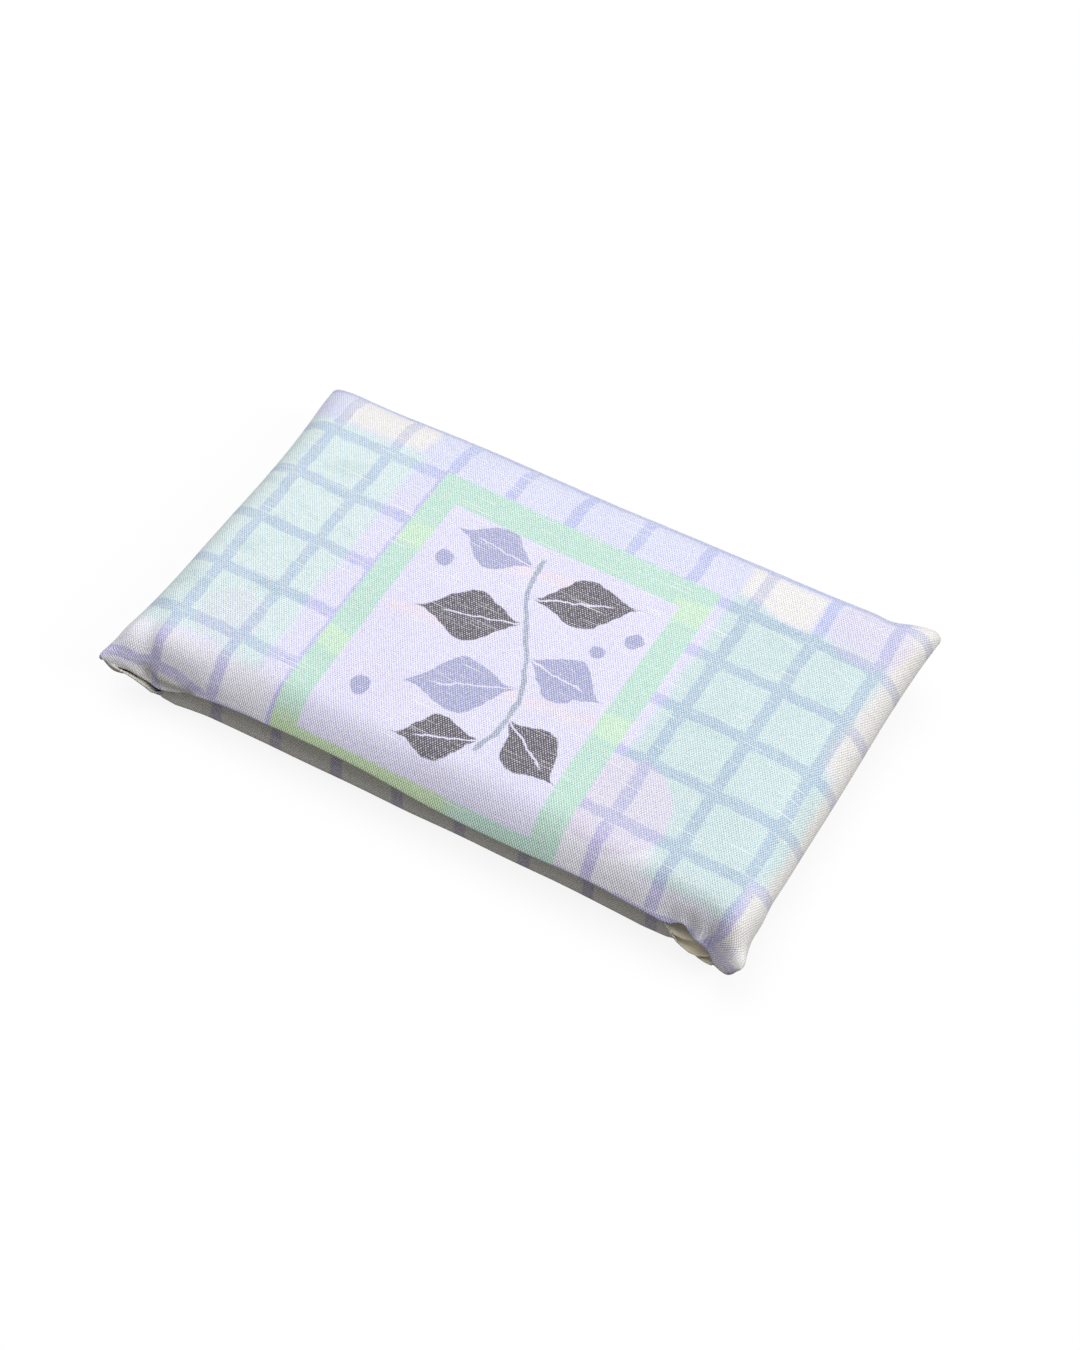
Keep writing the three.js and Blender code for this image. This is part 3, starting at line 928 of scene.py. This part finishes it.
def swell(points, table, share):
    # moves points by the table's soft pushes, by a share for each point
    for (cx, cy), (rx, ry), push in table:
        near = np.exp(-((points[..., 0] - cx) / rx) ** 2 - ((points[..., 1] - cy) / ry) ** 2) * share
        points += near[..., None] * np.array(push)


def shapeWall(points, lip):
    # the foot of the front wall stands out along the left and is drawn in at both corners, which rise
    along, reach = np.array(pouch["bulgeRun"]).T
    reach = np.interp(points[..., 0], along, reach)
    low = smoothStep((1 - points[..., 2] / np.maximum(lip[:, 2], 1)) / pouch["bulgeShare"])
    near = smoothStep(1 - (points[..., 1] - lip[:, 1]) / pouch["bulgeDepth"])
    last, fade = pouch["bulgeEnds"]
    ends = smoothStep((last - abs(points[..., 0])) / fade)
    points[..., 1] -= reach * low * near * ends
    away = np.hypot(abs(points[..., 0]) - pouch["liftPlace"][0], points[..., 1] + pouch["liftPlace"][1])
    room = np.maximum(lip[:, 2] - points[..., 2], 0) / pouch["liftRoom"]
    points[..., 2] += pouch["cornerLift"] * np.exp(-(away / pouch["liftSize"]) ** 2) * room


def creaseLip(points):
    # the cloth above the crease bulges over the strip below it
    x = points[..., 0]
    away = np.linalg.norm(points - points[:1], axis=2)
    run = (lipCrease["end"] - x) / (lipCrease["end"] - lipCrease["start"])
    offset = away - lipCrease["depth"] * run
    step = np.tanh(offset / lipCrease["sharp"]) * np.exp(-(offset / lipCrease["reach"]) ** 2)
    atEnd, atStart = lipCrease["fade"]
    step = step * smoothStep(run * atEnd) * smoothStep((1 - run) * atStart) * lipCrease["step"]
    points += outward(points) * step[..., None]


def ripple(points, wave, seed, height):
    # slow unevenness of stuffed cloth, to about the given height either way
    shift = [noise.noise(Vector(p / wave) + Vector((seed, 0, 0))) for p in points.reshape(-1, 3)]
    return np.array(shift).reshape(points.shape[:-1]) * height


def outward(points):
    # unit normals of a grid of points, up on the upper panel
    along = np.gradient(points, axis=0)
    across = np.gradient(points, axis=1)
    normal = np.cross(across, along)
    return normal / np.maximum(np.linalg.norm(normal, axis=2, keepdims=True), 1e-9)


def turnedLip(points, facing):
    # rows for the lip's fold and the hem turned in behind it, from the hem's end to the fold
    normal = outward(points) * facing
    behind = points - normal * pouch["hemGap"]
    distance = np.linalg.norm(points - points[:1], axis=2)
    radius = pouch["hemGap"] / 2
    out = points[0] - points[1]
    out = out / np.linalg.norm(out, axis=1, keepdims=True)
    rows = []
    for share in pouch["hemShares"]:
        depth = pouch["hemWidth"] * share
        row = np.empty_like(points[0])
        for column in range(points.shape[1]):
            for part in range(3):
                row[column, part] = np.interp(depth, distance[:, column], behind[:, column, part])
        rows.append(row)
    for angle in np.radians(pouch["hemAngles"]):
        sweep = out * radius * math.sin(angle)
        rows.append(points[0] + sweep - normal[0] * radius * (1 - math.cos(angle)))
    return np.array(rows)


def tuckIn(points, facing, away):
    # seam allowances turned in at the sides and the back
    narrow = smoothStep(away / pouch["tuckStart"])
    left = []
    right = []
    for atTip, inward, drop in pouch["tuck"]:
        shift = np.zeros((len(points), 3))
        shift[:, 0] = atTip + (inward - atTip) * narrow
        shift[:, 2] = -facing * drop
        left.insert(0, points[:, 0] + shift)
        right.append(points[:, -1] + shift * (-1, 1, 1))
    points = np.concatenate([np.stack(left, 1), points, np.stack(right, 1)], axis=1)
    back = [points[-1] + np.array([0.0, -inward, -facing * drop]) for _, inward, drop in pouch["tuck"]]
    return np.concatenate([points, np.stack(back)])


def pouchPanel(name, upper, materials):
    across = stations(pouch["sideReach"], pouch["sideRound"], pouch["middleColumns"])
    along = stations(pouch["backReach"], pouch["endRound"], pouch["middleRows"])
    points, fullness = pillow(*np.meshgrid(across, along), upper)
    facing = 1 if upper else -1
    if upper:
        pullLip(points, upperLipEdge, pouch["lipPull"])
        everywhere = np.ones_like(fullness)
        swell(points, swellings, everywhere)
        swell(points, dents, everywhere)
        fromLip = np.linalg.norm(points - points[:1], axis=2)
        swell(points, shoulders, smoothStep(fromLip / pouch["shoulderStart"]))
        creaseLip(points)
        points[..., 2] += sum(ripple(points, *waves) for waves in pouch["ripples"]) * fullness
    else:
        pullLip(points, lowerLipEdge, pouch["lowerLipPull"])
        shapeWall(points, points[0].copy())
        swell(points, swellings, 1 - fullness)
        points[..., 1] += ripple(points, *pouch["lowerRipple"]) * fullness
    points[..., 2] = np.maximum(points[..., 2], 0.0)
    hem = turnedLip(points, facing)
    away = np.concatenate([np.zeros(len(hem)), np.linalg.norm(points[:, 0] - points[0, 0], axis=1)])
    points = tuckIn(np.concatenate([hem, points]), facing, away)
    # the hem ends short of the tips, and the corners of the turned-in allowances are trimmed
    low, high = pouch["hemRun" if upper else "lowerHemRun"]
    edge = points[len(hem), :, 0]
    cut = np.zeros(points.shape[:2], bool)
    cut[:len(hem)] = (edge < low) | (edge > high)
    trim = len(pouch["tuck"])
    cut[-trim:, :trim] = True
    cut[-trim:, -trim:] = True
    middleRow = len(hem) + pouch["borderSteps"] + pouch["middleRows"] // 2
    flat = flatLayout(points, points.shape[1] // 2, middleRow)
    # the lower lip's hem is turned in beyond the printed field and shows the bare cloth
    bareRows = 0 if upper else len(hem) - 2
    piece = sheetObject(name, points, flat, checkPrintAndWallShade["unit"], not upper, materials, bareRows, cut)
    clothThickness(piece, pouch["thickness"], 1)
    return piece, flatSpan(flat)


def taperLip(piece):
    # the lip is free in its middle and held by the seams at its two ends
    weights = piece.data.attributes["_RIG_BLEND"]
    for vert, weight in zip(piece.data.vertices, weights.data):
        held = (abs(vert.co.x) / mm - pouch["lipFree"]) / pouch["lipHold"]
        weight.value *= 1 - float(smoothStep(held))


def makePouch():
    upperPrint = printedCloth("framedPrint", True)
    lowerPrintAndWallShade = printedCloth("checkPrintAndWallShade", False)
    reverse = plainCloth("creamReverse", checkPrintAndWallShade["unit"], *pouch["reverse"])
    upper, size = pouchPanel("upper_cloth", True, [upperPrint, reverse])
    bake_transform(upper, "pouch", "upper_lip", start=(0, -0.008, 0.02), end=(0, -0.028, 0.02))
    taperLip(upper)
    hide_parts("pouch_upper_panel", "pouch_upper_lip")

    lower, size = pouchPanel("lower_cloth", False, [lowerPrintAndWallShade, reverse])
    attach(lower, "pouch")
    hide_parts("pouch_lower_panel", "pouch_lower_lip")
    print("stage: pouch panels sewn")


# Seam tapes: a folded tape round each turned-in seam allowance

seamTape = {
    "reach": 7.0,           # how far in from the seam the tape goes
    "half": 0.72,           # half the height of the folded tape, to its middle
    "thickness": 0.3,
    "start": 0.9,
    "noseSteps": 7,         # points round its fold
    "sideSteps": 44,        # points along a side seam
    "backSteps": 70,
    "unit": 240.0,
    "colour": (linear(228, 222, 240), linear(220, 214, 234)),
    "runs": {
        "left_seam_tape": ("left", "pouch_left_seam_binding"),
        "right_seam_tape": ("right", "pouch_right_seam_binding"),
        "back_seam_tape": ("back", "pouch_back_seam_binding"),
    },
}


def seamLine(side, node):
    # points of the seam, and the way in from it, over the length of the bound allowance
    low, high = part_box(node)
    if side == "back":
        across = np.linspace(low[0], high[0], seamTape["backSteps"]) / mm / pouch["sideReach"]
        seam, full = pillow(across, np.ones_like(across), True)
        inward = np.array([0.0, -1.0, 0.0])
    else:
        facing = -1.0 if side == "left" else 1.0
        along = np.linspace(low[1], high[1], seamTape["sideSteps"]) / mm - pouch["middle"]
        along = along / np.where(along < 0, pouch["lipReach"] + pouch["lipTip"], pouch["backReach"])
        seam, full = pillow(np.full_like(along, facing), along, True)
        inward = np.array([-facing, 0.0, 0.0])
    seam[:, 2] -= pouch["seamGap"] / 2
    swell(seam, swellings, np.ones_like(full))
    return seam, inward


def makeTapes():
    tape = plainCloth("seamTape", seamTape["unit"], *seamTape["colour"])
    half = seamTape["half"]
    nose = seamTape["reach"] - half
    angles = np.linspace(0, math.pi, seamTape["noseSteps"])
    section = [(seamTape["start"], half), (nose / 2, half)]
    section += [(nose + half * math.sin(angle), half * math.cos(angle)) for angle in angles]
    section += [(nose / 2, -half), (seamTape["start"], -half)]
    for name, (side, node) in seamTape["runs"].items():
        seam, inward = seamLine(side, node)
        points = np.array([seam + inward * depth + np.array([0.0, 0.0, rise]) for depth, rise in section])
        flat = flatLayout(points, points.shape[1] // 2, len(section) // 2)
        piece = sheetObject(name, points, flat, seamTape["unit"], side == "left", [tape])
        clothThickness(piece, seamTape["thickness"], 0)
        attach(piece, "pouch")
        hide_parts(node)
    print("stage: seams bound")


# The folded bag: panels, gussets and base, folded back and forth

bag = {
    "middle": pouch["middle"],
    "run": 39.25,           # half the straight run of a ply
    "base": 2.55,           # height of the lowest ply's middle
    "pitch": 3.9,           # from ply to ply
    "plies": 4,
    "offset": 1.3,          # panels lie this far above and below the gussets between them
    "thickness": 0.85,
    "gussetThickness": 0.4,
    "start": -34.4,         # y where the lowest ply begins
    "finish": -39.0,        # y where the top ply ends
    "gussetStart": 7.9,
    "baseReach": 7.6,       # y where the base's one ply ends
    "unit": 400.0,
    "columnStep": 3.5,
    "runSteps": 14,         # points along a ply
    "turnSteps": 9,         # points round a fold
    "cloth": (linear(243, 239, 226), linear(236, 231, 216)),
    "gusset": (linear(243, 233, 208), linear(237, 226, 198)),
}

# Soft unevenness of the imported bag, with each ripple's wavelength, seed and height
settling = {
    "endStart": 52.0,       # x beyond which the ends are drawn in and sink
    "endRun": 24.0,
    "endDraw": 0.07,
    "endSink": 0.05,
    "foldDraw": 0.012,      # how far the sides are drawn in at the folds
    "foldReach": 40.0,
    "sideRipple": (13.0, 2.9, 0.4),
    "foldRipple": (15.0, 11.3, 0.5),
    "topRipple": (22.0, 8.4, 0.3),
    "topHeight": 16.0,
}


def turnedEnd(edge, middle, way, radius, steps):
    # points round a fold, from the ply below it to the ply above
    angles = np.linspace(-math.pi / 2, math.pi / 2, steps)[1:-1]
    return [(edge + way * radius * math.cos(angle), middle + radius * math.sin(angle)) for angle in angles]


def foldPath(offset, start, finish, plies):
    # y and z along a sheet that lies the given way off the middle of each ply
    path = []
    for ply in range(plies):
        way = 1 if ply % 2 == 0 else -1
        height = bag["base"] + ply * bag["pitch"] + way * offset
        first = start if ply == 0 else -way * bag["run"]
        last = finish if ply == plies - 1 else way * bag["run"]
        path += [(y, height) for y in np.linspace(first, last, bag["runSteps"])]
        if ply < plies - 1:
            radius = bag["pitch"] / 2 - way * offset
            middle = bag["base"] + (ply + 0.5) * bag["pitch"]
            path += turnedEnd(last, middle, way, radius, bag["turnSteps"])
    return np.array(path)


def settle(points):
    # round corners, slow waves and uneven folds
    x, y, z = points[..., 0], points[..., 1], points[..., 2]
    end = smoothStep((abs(x) - settling["endStart"]) / settling["endRun"])
    points[..., 1] = y * (1 - settling["endDraw"] * end) + ripple(points, *settling["foldRipple"])
    drawn = settling["foldDraw"] * abs(y) / settling["foldReach"]
    points[..., 0] = x * (1 - drawn) + ripple(points, *settling["sideRipple"])
    waves = ripple(points * (1, 1, 0), *settling["topRipple"])
    points[..., 2] = z * (1 - settling["endSink"] * end) + waves * (z / settling["topHeight"])


def foldedCloth(name, node, path, thickness, material, pleats=None):
    low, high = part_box(node)
    left, right = low[0] / mm, high[0] / mm
    columns = np.linspace(left, right, round((right - left) / bag["columnStep"]) + 1)
    points = np.empty((len(path), len(columns), 3))
    points[..., 0] = columns[None, :]
    points[..., 1] = path[:, :1] + bag["middle"]
    points[..., 2] = path[:, 1:]
    settle(points)
    if pleats:
        points = np.concatenate([points, pleats(points[-1])])
    flat = flatLayout(points, len(columns) // 2, len(path) // 2)
    piece = sheetObject(name, points, flat, bag["unit"], False, [material])
    softWall(piece, thickness)
    return piece, flatSpan(flat)


# Cream folds in the right end of the mouth, which go on from the right gusset's last row
mouthFan = {
    # x, y and z along the nose of each fold, from the top down
    "noses": (
        ((54.0, -42.0, 9.4), (62.0, -44.6, 9.6), (66.2, -47.5, 9.5), (67.6, -48.1, 8.6),
         (69.0, -48.7, 6.9), (72.4, -47.5, 7.9), (74.4, -46.8, 8.9), (80.0, -45.0, 9.6)),
        ((54.0, -42.0, 6.4), (64.0, -44.6, 6.4), (69.3, -48.3, 6.3), (73.4, -49.0, 5.5),
         (75.2, -49.1, 4.9), (78.0, -47.5, 6.5), (80.0, -46.8, 7.2)),
        ((54.0, -42.0, 3.2), (70.0, -45.5, 3.8), (75.4, -48.6, 4.2), (79.8, -48.9, 5.0)),
    ),
    "spread": 1.13,         # how much wider than the gusset the folds reach to the right
    "openRun": 30.0,        # run from the left over which they open
    "openLeast": 0.1,
    "hang": (-41.6, 11.8),  # y and z of the row that they hang from
    "hollow": (0.4, 0.85, 0.2),   # the hollow above a nose: shares of the way out and down, and its sag
    "noseRows": ((0.35, -0.12), (0.0, 0.12), (0.5, 0.45)),   # round a nose: in and down
    "under": (2.2, 0.6),    # from a nose to where the next fold hangs: in and down
}


def fanFolds(last):
    # rows of cloth that step down the folds
    left = last[:, 0].min()
    x = left + (last[:, 0] - left) * mouthFan["spread"]
    least = mouthFan["openLeast"]
    opened = least + (1 - least) * smoothStep((x - x.min()) / mouthFan["openRun"])
    hangY, hangZ = mouthFan["hang"]
    outShare, downShare, sag = mouthFan["hollow"]
    underIn, underDown = mouthFan["under"]
    back = np.full_like(x, hangY)
    height = np.full_like(x, hangZ)
    rows = [np.stack([x, back, height], -1)]
    for nose in mouthFan["noses"]:
        line = np.array(nose)
        y = hangY + (np.interp(x, line[:, 0], line[:, 1]) - hangY) * opened
        z = hangZ + (np.interp(x, line[:, 0], line[:, 2]) - hangZ) * opened
        hollowY = back * (1 - outShare) + y * outShare
        hollowZ = height * (1 - downShare) + z * downShare - sag
        rows.append(np.stack([x, hollowY, hollowZ], -1))
        for inward, drop in mouthFan["noseRows"]:
            rows.append(np.stack([x, y + inward, z - drop], -1))
        back = y + underIn
        height = z - underDown
        rows.append(np.stack([x, back, height], -1))
    return np.array(rows)


def softWall(piece, thickness):
    # thickness about the middle of the cloth, with soft round edges
    wall = piece.modifiers.new("thickness", "SOLIDIFY")
    wall.thickness = thickness * mm
    wall.offset = 0.0
    wall.use_even_offset = False
    smooth = piece.modifiers.new("smooth", "SUBSURF")
    smooth.levels = 1
    smooth.render_levels = 1


def packed(piece, node):
    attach(piece, "folded_bag")
    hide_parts(node)


def makeBag():
    cloth = plainCloth("bagCloth", bag["unit"], *bag["cloth"])
    sideCloth = plainCloth("gussetCloth", bag["unit"], *bag["gusset"])
    for name, node, offset in (
        ("bag_front_cloth", "bag_front_panel", bag["offset"]),
        ("bag_back_cloth", "bag_back_panel", -bag["offset"]),
    ):
        path = foldPath(offset, bag["start"], bag["finish"], bag["plies"])
        piece, size = foldedCloth(name, node, path, bag["thickness"], cloth)
        packed(piece, node)
    path = foldPath(0.0, bag["gussetStart"], bag["finish"], bag["plies"])
    for node, pleats in (("bag_left_gusset", None), ("bag_right_gusset", fanFolds)):
        piece, size = foldedCloth(node + "_cloth", node, path, bag["gussetThickness"], sideCloth, pleats)
        packed(piece, node)
    path = foldPath(0.0, bag["start"], bag["baseReach"], 1)
    piece, size = foldedCloth("bag_base_cloth", "bag_base_panel", path, bag["thickness"], cloth)
    packed(piece, "bag_base_panel")
    print("stage: bag folded")


# Straps: each folded back and forth on top of the bag, with a row of stitches along both edges

strap = {
    "thickness": 0.8,
    "plies": 3,
    "pitch": 1.15,
    "span": 62.0,           # half the straight run of a ply
    "runSteps": 26,
    "turnSteps": 7,
    "columns": 9,
    "unit": 400.0,
    "cloth": (linear(214, 210, 232), linear(204, 200, 226)),
    "heightRipple": (22.0, 8.4, 0.25),   # wavelength, seed and height
    "sideRipple": (30.0, 4.6, 0.6),
    "stitchInset": 2.6,
    "stitchPitch": 3.0,
    "stitchLength": 2.1,
    "stitchThread": 0.5,
    "stitchEnds": (3.0, 2.0),            # left free at the left and the right
    "thread": (linear(246, 243, 236), linear(226, 221, 216)),
    "threadTwist": 0.0006,               # m
    "threadRoughness": 0.7,
}


def strapPath():
    # x and z along a folded strap
    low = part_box("bag_front_handle")[0]
    base = low[2] / mm + strap["thickness"] / 2
    radius = strap["pitch"] / 2
    path = []
    for ply in range(strap["plies"]):
        way = 1 if ply % 2 == 0 else -1
        height = base + ply * strap["pitch"]
        edge = way * strap["span"]
        path += [(x, height) for x in np.linspace(-edge, edge, strap["runSteps"])]
        if ply < strap["plies"] - 1:
            path += turnedEnd(edge, height + radius, way, radius, strap["turnSteps"])
    return np.array(path)


def strapThread():
    material, tree, shader = newMaterial("strapThread")
    place = tree.nodes.new("ShaderNodeTexCoord")
    twist = cloudy(Term(tree, place.outputs["Object"]), strap["threadTwist"])
    plug(tree, shader.inputs["Base Color"], mixed(twist[0] + 0.5, *strap["thread"]))
    shader.inputs["Roughness"].default_value = strap["threadRoughness"]
    return material


def strapStitches(name, ply, thread):
    bm = bmesh.new()
    order = np.argsort(ply[:, 0, 0])
    left, right = strap["stitchEnds"]
    runs = np.arange(-strap["span"] + left, strap["span"] - right, strap["stitchPitch"])
    size = (strap["stitchLength"] / 2, strap["stitchThread"] / 2, strap["stitchThread"] / 2)
    for column, inset in ((0, strap["stitchInset"]), (-1, -strap["stitchInset"])):
        for x in runs:
            y = np.interp(x, ply[order, column, 0], ply[order, column, 1]) + inset
            z = np.interp(x, ply[order, column, 0], ply[order, column, 2]) + strap["thickness"] / 2
            made = bmesh.ops.create_icosphere(bm, subdivisions=1, radius=1.0)["verts"]
            bmesh.ops.scale(bm, vec=Vector(size) * mm, verts=made)
            bmesh.ops.translate(bm, vec=Vector((x, y, z)) * mm, verts=made)
    for face in bm.faces:
        face.smooth = True
    return meshObject(name, bm, [thread])


def makeStraps():
    webbing = plainCloth("strapCloth", strap["unit"], *strap["cloth"])
    thread = strapThread()
    path = strapPath()
    for name, node in (("bag_front_strap", "bag_front_handle"), ("bag_back_strap", "bag_back_handle")):
        low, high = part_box(node)
        columns = np.linspace(low[1] / mm, high[1] / mm, strap["columns"])
        points = np.empty((len(path), len(columns), 3))
        points[..., 0] = path[:, :1]
        points[..., 1] = columns[None, :]
        points[..., 2] = path[:, 1:]
        flat = flatLayout(points, len(columns) // 2, len(path) // 2)
        points[..., 2] += ripple(points * (1, 1, 0), *strap["heightRipple"])
        points[..., 1] += ripple(points * (1, 0, 1), *strap["sideRipple"])
        piece = sheetObject(name, points, flat, strap["unit"], True, [webbing])
        softWall(piece, strap["thickness"])
        packed(piece, node)
        stitches = strapStitches(name + "_stitches", points[-strap["runSteps"]:], thread)
        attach(stitches, "folded_bag")
    print("stage: straps folded and stitched")


placeCamera()
makeStudio()
makePouch()
makeTapes()
makeBag()
makeStraps()
